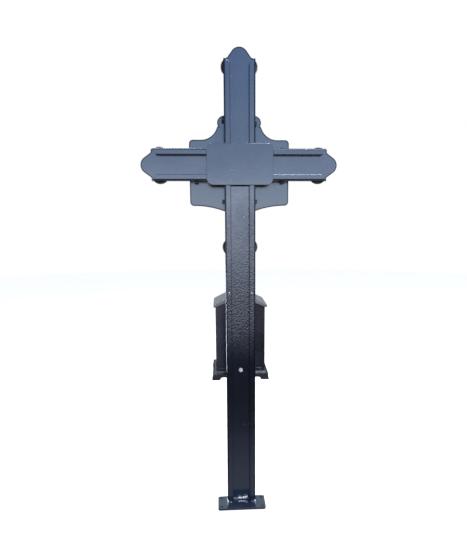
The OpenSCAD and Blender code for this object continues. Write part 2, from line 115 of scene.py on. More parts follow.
studio = {
    # degrees above the horizon, then the light's colour there
    "behind": [  # the side of the rear view
        (-90, 0.16, 0.16, 0.18), (-40, 0.26, 0.26, 0.30), (-31, 0.17, 0.17, 0.22),
        (-26, 0.05, 0.05, 0.06), (-22, 0.02, 0.02, 0.03), (-17, 0.03, 0.04, 0.06),
        (-13, 0.05, 0.05, 0.09), (-9, 0.47, 0.43, 0.46), (-3, 0.82, 0.76, 0.72),
        (0, 1.52, 1.42, 1.36), (3, 2.26, 2.13, 2.06), (6, 0.95, 1.05, 1.18),
        (9, 0.74, 0.88, 1.05), (21, 0.50, 0.66, 0.96), (45, 0.22, 0.29, 0.43),
        (90, 0.12, 0.14, 0.20),
    ],
    "ahead": [  # the side of the cartouche and the lantern's door
        (-90, 0.16, 0.16, 0.18), (-30, 0.40, 0.40, 0.43), (-16, 0.22, 0.22, 0.26),
        (-9, 0.04, 0.04, 0.06), (-5, 0.12, 0.12, 0.16), (0, 0.66, 0.70, 0.76),
        (5, 0.66, 0.72, 0.80), (10, 0.20, 0.22, 0.26), (14, 0.07, 0.08, 0.11),
        (27, 0.07, 0.08, 0.11), (31, 0.48, 0.53, 0.56), (50, 0.44, 0.48, 0.52),
        (90, 0.12, 0.14, 0.20),
    ],
    "beside": [
        (-90, 0.14, 0.14, 0.16), (-20, 0.10, 0.10, 0.12), (0, 0.10, 0.11, 0.14),
        (25, 0.14, 0.16, 0.22), (90, 0.12, 0.14, 0.20),
    ],
    "rampTop": 2.5,  # the brightest colour that a ramp can hold
    "turnFrom": 0.30,  # how far round a side gives way to the next, as the heading's Y
    "turnTo": 0.80,
    "backdrop": 1.0,  # brightness of the plain white behind the object
    "floorTone": (0.80, 0.80, 0.81),
    "floorDarker": 0.99,  # the darker part of the floor's grain, as a share of its tone
    "floorGrain": 3.0,
    "floorRoughness": 0.9,
    "floorGlow": 0.75,
    "floorRadius": 9.0,
    "floorSides": 96,
    "floorDrop": 0.0005,
}
nodeRows = {"columns": 8, "across": 200, "down": 320}


def addNode(tree, kind, **values):
    # Nodes lie in rows, in the order in which they are made
    row, column = divmod(len(tree.nodes), nodeRows["columns"])
    node = tree.nodes.new(kind)
    node.location = (column * nodeRows["across"], -row * nodeRows["down"])
    for key, value in values.items():
        setattr(node, key, value)
    return node


def newMaterial(name):
    material = bpy.data.materials.new(name)
    material.use_nodes = True
    tree = material.node_tree
    return material, tree, tree.nodes["Principled BSDF"].inputs


def setInputs(inputs, values):
    for label, value in values.items():
        inputs[label].default_value = value


def mapRange(tree, value, fromMin, fromMax, toMin=0.0, toMax=1.0, **settings):
    node = addNode(tree, "ShaderNodeMapRange", **settings)
    setInputs(node.inputs, {"From Min": fromMin, "From Max": fromMax, "To Min": toMin, "To Max": toMax})
    tree.links.new(value, node.inputs["Value"])
    return node.outputs["Result"]


def mathNode(tree, operation, *values):
    node = addNode(tree, "ShaderNodeMath", operation=operation)
    for socket, value in zip(node.inputs, values):
        if isinstance(value, (int, float)):
            socket.default_value = value
        else:
            tree.links.new(value, socket)
    return node.outputs[0]


def splitNode(tree, vector):
    node = addNode(tree, "ShaderNodeSeparateXYZ")
    tree.links.new(vector, node.inputs[0])
    return node.outputs


def noiseNode(tree, vector, scale, detail=2.0, roughness=0.5):
    node = addNode(tree, "ShaderNodeTexNoise")
    setInputs(node.inputs, {"Detail": detail, "Roughness": roughness})
    tree.links.new(vector, node.inputs["Vector"])
    if isinstance(scale, (int, float)):
        node.inputs["Scale"].default_value = scale
    else:
        tree.links.new(scale, node.inputs["Scale"])
    return node.outputs["Fac"]


def mixColour(tree, first, second, factor):
    node = addNode(tree, "ShaderNodeMix", data_type="RGBA")
    for socket, value in ((node.inputs[6], first), (node.inputs[7], second)):
        if isinstance(value, tuple):
            socket.default_value = (*value, 1.0)
        else:
            tree.links.new(value, socket)
    tree.links.new(factor, node.inputs[0])
    return node.outputs[2]


def skyRamp(tree, name, stops, top):
    ramp = addNode(tree, "ShaderNodeValToRGB", name=name, label=name)
    ramp.color_ramp.interpolation = "LINEAR"
    elements = ramp.color_ramp.elements
    elements.remove(elements[0])
    for index, (degrees, *colour) in enumerate(stops):
        position = 0.5 + 0.5 * sin(radians(degrees))
        stop = elements[0] if index == 0 else elements.new(position)
        stop.position = position
        stop.color = (*[c / top for c in colour], 1.0)
    return ramp


def buildWorld(setup):
    world = bpy.data.worlds.new("studio")
    bpy.context.scene.world = world
    world.use_nodes = True
    tree = world.node_tree
    tree.nodes.clear()
    link = tree.links.new
    coords = addNode(tree, "ShaderNodeTexCoord").outputs["Generated"]
    split = splitNode(tree, coords)
    lift = mathNode(tree, "MULTIPLY_ADD", split["Z"], 0.5, 0.5)
    flat = addNode(tree, "ShaderNodeCombineXYZ")
    link(split["X"], flat.inputs["X"])
    link(split["Y"], flat.inputs["Y"])
    level = addNode(tree, "ShaderNodeVectorMath", operation="NORMALIZE")
    link(flat.outputs[0], level.inputs[0])
    heading = splitNode(tree, level.outputs[0])["Y"]
    colours = {}
    for side in ("behind", "ahead", "beside"):
        ramp = skyRamp(tree, side, setup[side], setup["rampTop"])
        link(lift, ramp.inputs["Fac"])
        colours[side] = ramp.outputs["Color"]
    blend = colours["beside"]
    for side, sign in (("behind", 1), ("ahead", -1)):
        share = mapRange(tree, heading, sign * setup["turnFrom"], sign * setup["turnTo"],
                         interpolation_type="SMOOTHSTEP")
        blend = mixColour(tree, blend, colours[side], share)
    glow = addNode(tree, "ShaderNodeBackground")
    glow.inputs["Strength"].default_value = setup["rampTop"]
    link(blend, glow.inputs["Color"])
    plain = addNode(tree, "ShaderNodeBackground")
    setInputs(plain.inputs, {"Color": (1.0, 1.0, 1.0, 1.0), "Strength": setup["backdrop"]})
    path = addNode(tree, "ShaderNodeLightPath")
    mix = addNode(tree, "ShaderNodeMixShader")
    out = addNode(tree, "ShaderNodeOutputWorld")
    link(path.outputs["Is Camera Ray"], mix.inputs[0])
    link(glow.outputs[0], mix.inputs[1])
    link(plain.outputs[0], mix.inputs[2])
    link(mix.outputs[0], out.inputs["Surface"])


softLights = {
    "frontFill": {"at": (0.9, -1.6, 3.6), "aim": (0.0, 0.0, 1.0), "width": 1.4, "height": 1.2,
                  "power": 70.0, "tint": (1.0, 0.98, 0.95)},
    "leftRim": {"at": (1.30, -0.663, 0.37), "aim": (0.0, 0.0, 0.62), "width": 0.3, "height": 0.74,
                "power": 15.0, "tint": (1.0, 0.99, 0.97)},
    "rearFill": {"at": (-0.7, 1.5, 3.2), "aim": (0.0, 0.0, 0.4), "width": 1.0, "height": 1.0,
                 "power": 55.0, "tint": (1.0, 1.0, 1.0)},
}


def buildLights(setup):
    for name, values in setup.items():
        data = bpy.data.lights.new(name, "AREA")
        data.shape = "RECTANGLE"
        data.size = values["width"]
        data.size_y = values["height"]
        data.energy = values["power"]
        data.color = values["tint"]
        lamp = newObject(name, data)
        lamp.location = values["at"]
        lamp.rotation_mode = "QUATERNION"
        towards = Vector(values["aim"]) - Vector(values["at"])
        lamp.rotation_quaternion = towards.to_track_quat("-Z", "Y")


def buildFloor(setup):
    mesh = bpy.data.meshes.new("floor")
    shape = bmesh.new()
    bmesh.ops.create_circle(shape, cap_ends=True, segments=setup["floorSides"], radius=setup["floorRadius"])
    shape.to_mesh(mesh)
    shape.free()
    floor = newObject("floor", mesh)
    floor.location = (0.0, 0.0, cadBox[0][2] - setup["floorDrop"])
    material, tree, inputs = newMaterial("floorPale")
    setInputs(inputs, {"Roughness": setup["floorRoughness"], "Emission Color": (1.0, 1.0, 1.0, 1.0),
                       "Emission Strength": setup["floorGlow"]})
    grain = addNode(tree, "ShaderNodeTexNoise")
    grain.inputs["Scale"].default_value = setup["floorGrain"]
    tone = addNode(tree, "ShaderNodeValToRGB")
    tone.color_ramp.elements[0].color = (*[c * setup["floorDarker"] for c in setup["floorTone"]], 1.0)
    tone.color_ramp.elements[1].color = (*setup["floorTone"], 1.0)
    tree.links.new(grain.outputs["Fac"], tone.inputs["Fac"])
    tree.links.new(tone.outputs["Color"], inputs["Base Color"])
    mesh.materials.append(material)
    floor.visible_glossy = False  # the paint mirrors the studio's soft gradient, not the floor
    floor.visible_diffuse = False


buildCamera(cameraSetup)
buildWorld(studio)
buildLights(softLights)
buildFloor(studio)
bpy.context.scene.view_settings.view_transform = "Standard"
print("stage: camera, light and floor ready")


def newGroup(name, inputs, masks, normals=()):
    group = bpy.data.node_groups.new(name, "ShaderNodeTree")
    sockets = [(label, "INPUT", "NodeSocketFloat") for label in inputs]
    sockets += [(label, "OUTPUT", "NodeSocketFloat") for label in masks]
    sockets += [(label, "OUTPUT", "NodeSocketVector") for label in normals]
    for label, way, kind in sockets:
        group.interface.new_socket(name=label, in_out=way, socket_type=kind)
    source = addNode(group, "NodeGroupInput")
    sink = addNode(group, "NodeGroupOutput")
    return group, source.outputs, sink.inputs, group.links.new


effectShape = {  # scales are in cells per metre, distances in metres
    "coat": {
        "peelRoughness": 0.6, "speckleRange": (0.40, 0.68), "waveScale": 13.0,
        "patchScale": 7.0, "patchDetail": 3.0, "patchRange": (0.35, 0.65, 0.5, 1.0),
        "calmDepth": 0.10,  # what is left of the peel where the coat is calm
        "calmAboveFade": (-0.06, 0.04), "calmBelowFade": (-0.07, 0.07),
        "frontDepth": 0.08,  # what is left of it on the front and flanks
        "rearFade": (0.50, 0.85),  # how far a face looks back, as its normal's Y
    },
    "edge": {"samples": 8, "edgeRange": (0.985, 0.80), "patchDetail": 6.0, "patchRoughness": 0.7,
             "wornRange": (0.54, 0.66)},
    "crevice": {"samples": 8, "openRange": (0.88, 0.42)},
    "speck": {"spotRange": (0.20, 0.10)},
    "dust": {"upwardRange": (0.35, 0.95), "cloudDetail": 7.0, "cloudRoughness": 0.65,
             "cloudRange": (0.30, 0.75),
             "runStretch": 0.04, "runScale": 90.0, "runDetail": 4.0, "runRange": (0.55, 0.80)},
}


def buildCoatTexture(values):
    # Depths are in metres, so the bump that reads the height keeps a distance of one
    group, source, sink, link = newGroup(
        "coatTexture", ("Peel scale", "Peel depth", "Wave depth", "Calm above", "Calm below"),
        ("Height", "Speckle"),
    )
    coords = addNode(group, "ShaderNodeTexCoord").outputs["Object"]
    peel = noiseNode(group, coords, source["Peel scale"], 2.0, values["peelRoughness"])
    wave = noiseNode(group, coords, values["waveScale"])
    height = splitNode(group, coords)["Z"]
    rise = mathNode(group, "SUBTRACT", height, source["Calm above"])
    calm = mapRange(group, rise, *values["calmAboveFade"], 1.0, values["calmDepth"])
    drop = mathNode(group, "SUBTRACT", height, source["Calm below"])
    calmLow = mapRange(group, drop, *values["calmBelowFade"], values["calmDepth"], 1.0)
    calm = mathNode(group, "MULTIPLY", calm, calmLow)
    normal = addNode(group, "ShaderNodeNewGeometry").outputs["Normal"]
    facing = splitNode(group, normal)["Y"]
    rearOnly = mapRange(group, facing, *values["rearFade"], values["frontDepth"], 1.0)
    calm = mathNode(group, "MULTIPLY", calm, rearOnly)
    patch = noiseNode(group, coords, values["patchScale"], values["patchDetail"])
    patch = mapRange(group, patch, *values["patchRange"])
    depth = mathNode(group, "MULTIPLY", calm, source["Peel depth"])
    depth = mathNode(group, "MULTIPLY", depth, patch)
    peelHeight = mathNode(group, "MULTIPLY", peel, depth)
    waveHeight = mathNode(group, "MULTIPLY", wave, source["Wave depth"])
    link(mathNode(group, "ADD", peelHeight, waveHeight), sink["Height"])
    link(mapRange(group, peel, *values["speckleRange"]), sink["Speckle"])
    return group


def buildEdgeWearAndShade(values):
    # Wear is rubbed paint along the edges; Edge is the plain edge mask, which the paint also uses for painted
    # shade along every edge
    group, source, sink, link = newGroup(
        "edgeWearAndShade", ("Width", "Patchiness", "Amount"), ("Wear", "Edge"), ("Round normal",),
    )
    coords = addNode(group, "ShaderNodeTexCoord").outputs["Object"]
    bevel = addNode(group, "ShaderNodeBevel", samples=values["samples"])
    link(source["Width"], bevel.inputs["Radius"])
    plain = addNode(group, "ShaderNodeNewGeometry")
    match = addNode(group, "ShaderNodeVectorMath", operation="DOT_PRODUCT")
    link(bevel.outputs["Normal"], match.inputs[0])
    link(plain.outputs["Normal"], match.inputs[1])
    edge = mapRange(group, match.outputs["Value"], *values["edgeRange"])
    patches = noiseNode(group, coords, source["Patchiness"], values["patchDetail"],
                        values["patchRoughness"])
    worn = mapRange(group, patches, *values["wornRange"])
    both = mathNode(group, "MULTIPLY", edge, worn)
    link(mathNode(group, "MULTIPLY", both, source["Amount"]), sink["Wear"])
    link(edge, sink["Edge"])
    link(bevel.outputs["Normal"], sink["Round normal"])
    return group


def buildCreviceShade(values):
    # Painted shade: an ambient-occlusion mask that darkens the paint in corners, creases and between parts,
    # where shade falls
    group, source, sink, link = newGroup("creviceShadeGroup", ("Reach",), ("Crevice",))
    shade = addNode(group, "ShaderNodeAmbientOcclusion", samples=values["samples"])
    link(source["Reach"], shade.inputs["Distance"])
    link(mapRange(group, shade.outputs["AO"], *values["openRange"]), sink["Crevice"])
    return group


def buildSpecks(values):
    # Small pale specks: one in a few cells carries a speck
    group, source, sink, link = newGroup("paleSpecks", ("Cells", "Share"), ("Speck",))
    coords = addNode(group, "ShaderNodeTexCoord").outputs["Object"]
    cells = addNode(group, "ShaderNodeTexVoronoi")
    link(coords, cells.inputs["Vector"])
    link(source["Cells"], cells.inputs["Scale"])
    spot = mapRange(group, cells.outputs["Distance"], *values["spotRange"])
    pick = addNode(group, "ShaderNodeSeparateColor")
    link(cells.outputs["Color"], pick.inputs[0])
    chosen = mathNode(group, "LESS_THAN", pick.outputs[0], source["Share"])
    link(mathNode(group, "MULTIPLY", spot, chosen), sink["Speck"])
    return group


def buildDust(values):
    # Dust lies in clouds on what faces up, and runs down in thin streaks
    group, source, sink, link = newGroup("settledDust", ("Ledges", "Streaks", "Scale"), ("Dust",))
    coords = addNode(group, "ShaderNodeTexCoord").outputs["Object"]
    normal = addNode(group, "ShaderNodeNewGeometry").outputs["Normal"]
    upward = mapRange(group, splitNode(group, normal)["Z"], *values["upwardRange"])
    cloud = noiseNode(group, coords, source["Scale"], values["cloudDetail"], values["cloudRoughness"])
    cloud = mapRange(group, cloud, *values["cloudRange"])
    stretch = addNode(group, "ShaderNodeMapping")
    stretch.inputs["Scale"].default_value = (1.0, 1.0, values["runStretch"])
    link(coords, stretch.inputs["Vector"])
    runs = noiseNode(group, stretch.outputs["Vector"], values["runScale"], values["runDetail"])
    runs = mapRange(group, runs, *values["runRange"])
    ledge = mathNode(group, "MULTIPLY", upward, cloud)
    ledge = mathNode(group, "MULTIPLY", ledge, source["Ledges"])
    runs = mathNode(group, "MULTIPLY", runs, source["Streaks"])
    link(mathNode(group, "MAXIMUM", ledge, runs), sink["Dust"])
    return group


coatTexture = buildCoatTexture(effectShape["coat"])
edgeWearAndShade = buildEdgeWearAndShade(effectShape["edge"])
creviceShadeGroup = buildCreviceShade(effectShape["crevice"])
paleSpecks = buildSpecks(effectShape["speck"])
settledDust = buildDust(effectShape["dust"])
print("effects: coat, edge, crevice, speck and dust groups ready")


def useGroup(tree, group, **values):
    node = addNode(tree, "ShaderNodeGroup")
    node.node_tree = group
    setInputs(node.inputs, {label.replace("_", " "): value for label, value in values.items()})
    return node


def paint(name, look):
    material, tree, inputs = newMaterial(name)
    setInputs(inputs, {"Coat Weight": look["coat"], "Coat Roughness": look["coatRoughness"]})
    texture = useGroup(tree, coatTexture, Peel_scale=look["peelScale"], Peel_depth=look["peelDepth"],
                       Wave_depth=look["waveDepth"], Calm_above=look["calmAbove"],
                       Calm_below=look["calmBelow"])
    wear = useGroup(tree, edgeWearAndShade, Width=look["edgeWidth"], Patchiness=look["wearPatches"],
                    Amount=look["wear"])
    crevice = useGroup(tree, creviceShadeGroup, Reach=look["creviceReach"])
    speck = useGroup(tree, paleSpecks, Cells=look["speckCells"], Share=look["speckShare"])
    speck = mathNode(tree, "MULTIPLY", speck.outputs["Speck"], look["specks"])
    dust = useGroup(tree, settledDust, Ledges=look["dust"], Streaks=look["streaks"], Scale=look["dustScale"])
    dust = dust.outputs["Dust"]
    outline = addNode(tree, "ShaderNodeAttribute", attribute_name="rim")
    coords = addNode(tree, "ShaderNodeTexCoord").outputs["Object"]
    drift = noiseNode(tree, coords, look["driftScale"], look["driftDetail"])
    drift = mapRange(tree, drift, *look["driftRange"])
    if look["flankLight"]:  # painted light: one flank of the lantern is painted lighter than the other, as if lit from that side
        across = mapRange(tree, splitNode(tree, coords)["X"], *look["flankLightAcross"], 0.0, look["flankLight"])
        drift = mathNode(tree, "MULTIPLY_ADD", drift, 1.0 - look["flankLight"], across)
    colour = mixColour(tree, look["dark"], look["light"], drift)
    # Painted shade: the edge mask, the outline band in the "rim" attribute and the crevice mask darken the
    # colour towards "shade", standing in for the shade and dark reflections along edges, silhouettes and
    # creases
    for mask, amount, tone in (
        (texture.outputs["Speckle"], "flecks", "fleck"),
        (wear.outputs["Edge"], "edgeShade", "shade"),
        (outline.outputs["Fac"], "rimShade", "shade"),
        (crevice.outputs["Crevice"], "creviceShade", "shade"),
    ):
        colour = mixColour(tree, colour, look[tone], mathNode(tree, "MULTIPLY", mask, look[amount]))
    for mask, tone in ((wear.outputs["Wear"], "bare"), (dust, "dustTone"), (speck, "speckTone")):
        colour = mixColour(tree, colour, look[tone], mask)
    tree.links.new(colour, inputs["Base Color"])
    middle, spread = look["roughness"], look["roughSpread"]
    rough = mapRange(tree, drift, 0.0, 1.0, middle - spread, middle + spread)
    rough = mathNode(tree, "MULTIPLY_ADD", dust, look["dustRoughness"], rough)
    tree.links.new(rough, inputs["Roughness"])
    dull = mathNode(tree, "MAXIMUM", dust, speck)
    metal = mapRange(tree, dull, 0.0, 1.0, look["metallic"], look["metallic"] * look["dullShare"])
    tree.links.new(metal, inputs["Metallic"])
    bump = addNode(tree, "ShaderNodeBump")
    setInputs(bump.inputs, {"Strength": 1.0, "Distance": 1.0})
    tree.links.new(texture.outputs["Height"], bump.inputs["Height"])
    tree.links.new(wear.outputs["Round normal"], bump.inputs["Normal"])
    tree.links.new(bump.outputs["Normal"], inputs["Normal"])
    return material


framePaintLook = {  # colours are linear, distances in metres, scales in cells per metre
    "dark": (0.148, 0.178, 0.235), "light": (0.166, 0.199, 0.260),
    "fleck": (0.24, 0.27, 0.33), "flecks": 0.22,
    "bare": (0.34, 0.36, 0.40), "wear": 0.35, "wearPatches": 70.0,
    # painted shade: "shade" is the dark colour that edges, outline bands and crevices are darkened towards
    "edgeWidth": 0.0008, "edgeShade": 0.20, "shade": (0.020, 0.026, 0.044),
    "creviceReach": 0.006, "creviceShade": 0.50,
    "dust": 0.20, "streaks": 0.015, "dustScale": 30.0, "dustTone": (0.26, 0.28, 0.29),
    "specks": 0.55, "speckTone": (0.42, 0.44, 0.48), "speckCells": 75.0, "speckShare": 0.035,
    "metallic": 0.985, "dullShare": 0.2, "roughness": 0.15, "roughSpread": 0.02, "dustRoughness": 0.35,
    "driftScale": 5.0, "driftDetail": 5.0, "driftRange": (0.35, 0.65),
    "flankLight": 0.0, "flankLightAcross": (-0.10, 0.08), "coat": 0.0, "coatRoughness": 0.1,
    "peelScale": 200.0, "peelDepth": 0.0012, "waveDepth": 0.0003, "rimShade": 0.85,
    "calmAbove": 1.09, "calmBelow": 0.57,  # heights between which the post is mottled
}
evenPaintLook = dict(framePaintLook, calmAbove=9.0, calmBelow=-9.0)
cartouchePaintLook = dict(
    evenPaintLook, dark=(0.146, 0.182, 0.240), light=(0.166, 0.205, 0.262), roughness=0.23, peelDepth=0.00008,
    creviceReach=0.005, specks=0.2, dust=0.15, rimShade=0.7,
)
castingLook = dict(
    evenPaintLook, dark=(0.19, 0.20, 0.25), light=(0.32, 0.33, 0.37), fleck=(0.32, 0.33, 0.35),
    metallic=0.50, roughness=0.34, peelScale=420.0, peelDepth=0.00016, wear=0.7, dust=0.3, edgeWidth=0.0012,
    creviceShade=0.3, edgeShade=0.0, shade=(0.030, 0.034, 0.050),
)
lanternPaintLook = dict(
    evenPaintLook, dark=(0.260, 0.269, 0.292), light=(0.390, 0.400, 0.425), fleck=(0.26, 0.27, 0.28),
    peelScale=300.0, peelDepth=0.0003, edgeWidth=0.002, metallic=0.85, roughness=0.26, dust=0.30,
    dustTone=(0.36, 0.37, 0.37), edgeShade=0.25,
)
basePaintLook = dict(
    lanternPaintLook, dark=(0.042, 0.047, 0.060), light=(0.078, 0.085, 0.106), metallic=0.7, dust=0.06,
    dustTone=(0.10, 0.11, 0.13),
)
lanternEnamelLook = dict(
    evenPaintLook, dark=(0.006, 0.007, 0.013), light=(0.098, 0.100, 0.135), fleck=(0.06, 0.06, 0.08),
    flecks=0.10, bare=(0.16, 0.17, 0.19), wear=0.2, edgeWidth=0.0015, edgeShade=0.5,
    shade=(0.006, 0.007, 0.010), creviceReach=0.008, dust=0.15, streaks=0.02,
    dustTone=(0.10, 0.10, 0.11), specks=0.25, speckTone=(0.22, 0.23, 0.26), metallic=0.30, roughness=0.16,
    peelScale=300.0, peelDepth=0.00003, waveDepth=0.0008, coat=0.7, coatRoughness=0.05, driftScale=9.0,
    # painted light: the lantern's +X flank is painted lighter
    flankLight=0.6,
)
# Painted shade: the spacers are painted near black, standing in for the shade they sit in between the
# cartouche and the rails
spacerShadeLook = dict(
    framePaintLook, dark=(0.016, 0.020, 0.030), light=(0.030, 0.036, 0.050), metallic=0.6, roughness=0.3,
)
zincLook = dict(
    evenPaintLook, dark=(0.80, 0.82, 0.85), light=(0.94, 0.95, 0.96), fleck=(0.97, 0.97, 0.98), flecks=0.3,
    bare=(0.95, 0.95, 0.96), edgeShade=0.0, edgeWidth=0.0006, shade=(0.10, 0.10, 0.12), creviceReach=0.002,
    metallic=0.12, roughness=0.45, peelScale=700.0, peelDepth=0.00008, waveDepth=0.0, specks=0.0, dust=0.02,
)
cutEndLook = dict(zincLook, metallic=0.9, roughness=0.26)
# The weld's paint is lighter than the frame paint: partly the paint on the bead, partly a painted highlight
# for the light ridge along the fillet
weldPaintAndHighlightLook = dict(
    evenPaintLook, dark=(0.13, 0.16, 0.22), light=(0.26, 0.30, 0.37), fleck=(0.45, 0.47, 0.50), flecks=0.4,
    roughness=0.24, peelScale=500.0, peelDepth=0.0002, edgeShade=0.0, edgeWidth=0.0005, creviceReach=0.003,
)
bareWeldLook = dict(
    zincLook, dark=(0.70, 0.73, 0.78), light=(0.94, 0.95, 0.97), metallic=0.95, roughness=0.28,
    peelScale=420.0, peelDepth=0.0001, driftScale=160.0,
)


glassLook = {
    "tint": (0.93, 0.96, 0.95), "bending": 1.5, "clean": 0.03, "dusty": 0.22,
    "dust": 0.5, "streaks": 0.4, "dustScale": 20.0,
}


def clearGlass(look):
    material, tree, inputs = newMaterial("clearGlass")
    setInputs(inputs, {"Base Color": (*look["tint"], 1.0), "Transmission Weight": 1.0,
                       "IOR": look["bending"], "Metallic": 0.0})
    dust = useGroup(tree, settledDust,
                    Ledges=look["dust"], Streaks=look["streaks"], Scale=look["dustScale"])
    rough = mapRange(tree, dust.outputs["Dust"], 0.0, 1.0, look["clean"], look["dusty"])
    tree.links.new(rough, inputs["Roughness"])
    return material


finishes = {
    "frame_paint": paint("framePaint", framePaintLook),
    "cartouche_paint": paint("cartouchePaint", cartouchePaintLook),
    "rosette_casting": paint("rosetteCasting", castingLook),
    "lantern_paint": paint("lanternPaint", lanternPaintLook),
    "spacerShadePaint": paint("spacerShadePaint", spacerShadeLook),
    "basePaint": paint("basePaint", basePaintLook),
    "lantern_enamel": paint("lanternEnamel", lanternEnamelLook),
    "zinc": paint("zincPlate", zincLook),
    "cutEnd": paint("cutEnd", cutEndLook),
    "door_glass": clearGlass(glassLook),
    "weld": paint("paintedWeld", weldPaintAndHighlightLook),
    "bareWeld": paint("bareWeld", bareWeldLook),
}
slotOf = {part["node"]: part["material_slot"] for part in frame["record"]["subparts"]}
bodyOf = {node: body for body, nodes in frame["record"]["behaviour"]["bodies"].items() for node in nodes}
for nodeName, nodeObject in frame["nodes"].items():
    nodeObject.data.materials.clear()
    nodeObject.data.materials.append(finishes[slotOf[nodeName]])
print("finishes: every CAD node has its own procedural finish")


softEdgeWidth = {  # metres, by CAD node
    "face_plate": 0.0014,
    "post_rail_left": 0.0004, "post_rail_right": 0.0004,
    "arm_rail_left_upper": 0.0004, "arm_rail_left_lower": 0.0004,
    "arm_rail_right_upper": 0.0004, "arm_rail_right_lower": 0.0004,
    "rear_cover": 0.0011, "foot_plate": 0.0014, "cartouche": 0.0007,
    "spacer_top": 0.0009, "spacer_left": 0.0009, "spacer_right": 0.0009, "spacer_bottom": 0.0009,
    "lantern_base": 0.0009, "lantern_case": 0.0005, "lantern_roof": 0.0008,
    "lantern_door": 0.0009,
}
finishOf = {  # only where a part's finish is not the one that its slot names
    "lantern_base": "basePaint", "lantern_door": "basePaint",
    "spacer_top": "spacerShadePaint", "spacer_bottom": "spacerShadePaint",
    "spacer_left": "spacerShadePaint", "spacer_right": "spacerShadePaint",
}
edgeRules = {"merge": 1e-6, "flatDegrees": 0.6, "sharpDegrees": 38.0, "weight": 50}
# Painted shade: dark bands along the outlines of the rails and plates, read by the paint through the "rim"
# attribute
outlineShadeBand = {  # metres
    "near": 1e-5,
    "railCorner": 0.0024,  # the rolled corner along the outer back edge of each rail
    "cornerSteps": 4, "cornerShare": 0.35,
    "railDark": 0.0042, "railFade": 0.0014,
    "plateDark": 0.0024, "plateFade": 0.0016,
    "plates": ("face_plate", "cartouche"),
}


def newPiece(name, mesh, body, slot, finish=None):
    piece = newObject(name, mesh)
    mesh.materials.append(finishes[finish or slot])
    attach(piece, body)
    return piece


def bevelEdges(shape, edges, width, segments=2):
    bmesh.ops.bevel(shape, geom=edges, offset=width, segments=segments, profile=0.5, affect="EDGES",
                    clamp_overlap=True)


def finishMesh(name, shape):
    for face in shape.faces:
        face.smooth = True
    mesh = bpy.data.meshes.new(name)
    shape.to_mesh(mesh)
    shape.free()
    return mesh


def cutAcross(shape, axis, place):
    point, normal = Vector(), Vector()
    point[axis], normal[axis] = place, 1.0
    everything = shape.verts[:] + shape.edges[:] + shape.faces[:]
    bmesh.ops.bisect_plane(shape, geom=everything, plane_co=point, plane_no=normal)


def rollRailAndShadeOutline(nodeName, shape, rim, values):
    # Rolls the corner that runs along the cross's outline, and marks a band beside it for painted shade: a
    # dark outline standing in for the shade and dark reflections at the cross's edge
    low, high = map(Vector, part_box(nodeName))
    centre = (Vector(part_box("rear_cover")[0]) + Vector(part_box("rear_cover")[1])) / 2
    axis = 2 if high.x - low.x > high.z - low.z else 0
    outer, inward = (high[axis], -1) if (low[axis] + high[axis]) / 2 > centre[axis] else (low[axis], 1)
    near, dark = values["near"], values["railDark"]
    corners = [e for e in shape.edges
               if all(abs(v.co[axis] - outer) < near and abs(v.co.y - high.y) < near for v in e.verts)]
    bevelEdges(shape, corners, values["railCorner"], values["cornerSteps"])
    for reach in (dark, dark + values["railFade"]):
        cutAcross(shape, axis, outer + inward * reach)
    for v in shape.verts:
        atSide = abs(v.co[axis] - outer) < dark + near
        atBack = high.y - v.co.y < values["cornerShare"] * values["railCorner"]
        v[rim] = 1.0 if atSide and atBack else 0.0


def shadePlateOutline(nodeName, shape, rim, values):
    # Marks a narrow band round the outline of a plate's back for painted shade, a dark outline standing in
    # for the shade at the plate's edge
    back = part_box(nodeName)[1][1]
    flat = [f for f in shape.faces if all(abs(v.co.y - back) < values["near"] for v in f.verts)]
    for v in shape.verts:
        v[rim] = 1.0 if back - v.co.y < values["plateDark"] else 0.0
    for thickness, shade in ((values["plateDark"], 1.0), (values["plateFade"], 0.0)):
        bmesh.ops.inset_region(shape, faces=flat, thickness=thickness, use_boundary=True,
                               use_even_offset=True)
        for v in {v for f in flat for v in f.verts}:
            v[rim] = shade


def softenEdges(nodeName, width, rules):
    shape = bmesh.new()
    shape.from_mesh(frame["nodes"][nodeName].data)
    bmesh.ops.remove_doubles(shape, verts=shape.verts, dist=rules["merge"])
    bmesh.ops.dissolve_limit(shape, angle_limit=radians(rules["flatDegrees"]), verts=shape.verts,
                             edges=shape.edges)
    rim = shape.verts.layers.float.new("rim")
    if "_rail_" in nodeName:
        rollRailAndShadeOutline(nodeName, shape, rim, outlineShadeBand)
    sharp = radians(rules["sharpDegrees"])
    edges = [e for e in shape.edges if len(e.link_faces) == 2 and e.calc_face_angle(0.0) > sharp]
    bevelEdges(shape, edges, width)
    if nodeName in outlineShadeBand["plates"]:
        shadePlateOutline(nodeName, shape, rim, outlineShadeBand)
    mesh = finishMesh(nodeName + "_finished", shape)
    piece = newPiece(nodeName + "_finished", mesh, bodyOf[nodeName], slotOf[nodeName], finishOf.get(nodeName))
    weighted = piece.modifiers.new("weighted", "WEIGHTED_NORMAL")
    weighted.weight = rules["weight"]
    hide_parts(nodeName)


for nodeName, width in softEdgeWidth.items():
    softenEdges(nodeName, width, edgeRules)
print("plates and rails: edges softened on", len(softEdgeWidth), "parts")


def turnsAround(count):
    return [2 * pi * k / count for k in range(count)]


def loftRings(name, rings):
    # All rings have the same number of points, but a ring of one point closes an end
    shape = bmesh.new()
    made = [[shape.verts.new(point) for point in ring] for ring in rings]
    for first, second in zip(made, made[1:]):
        count = max(len(first), len(second))
        for i in range(count):
            j = (i + 1) % count
            corners = [first[i % len(first)], first[j % len(first)]]
            corners += [second[j % len(second)], second[i % len(second)]]
            unique = [v for k, v in enumerate(corners) if v not in corners[:k]]
            shape.faces.new(unique)
    bmesh.ops.recalc_face_normals(shape, faces=shape.faces)
    return finishMesh(name, shape)


def smoothStep(low, high, value):
    t = min(max((value - low) / (high - low), 0.0), 1.0)
    return t * t * (3.0 - 2.0 * t)


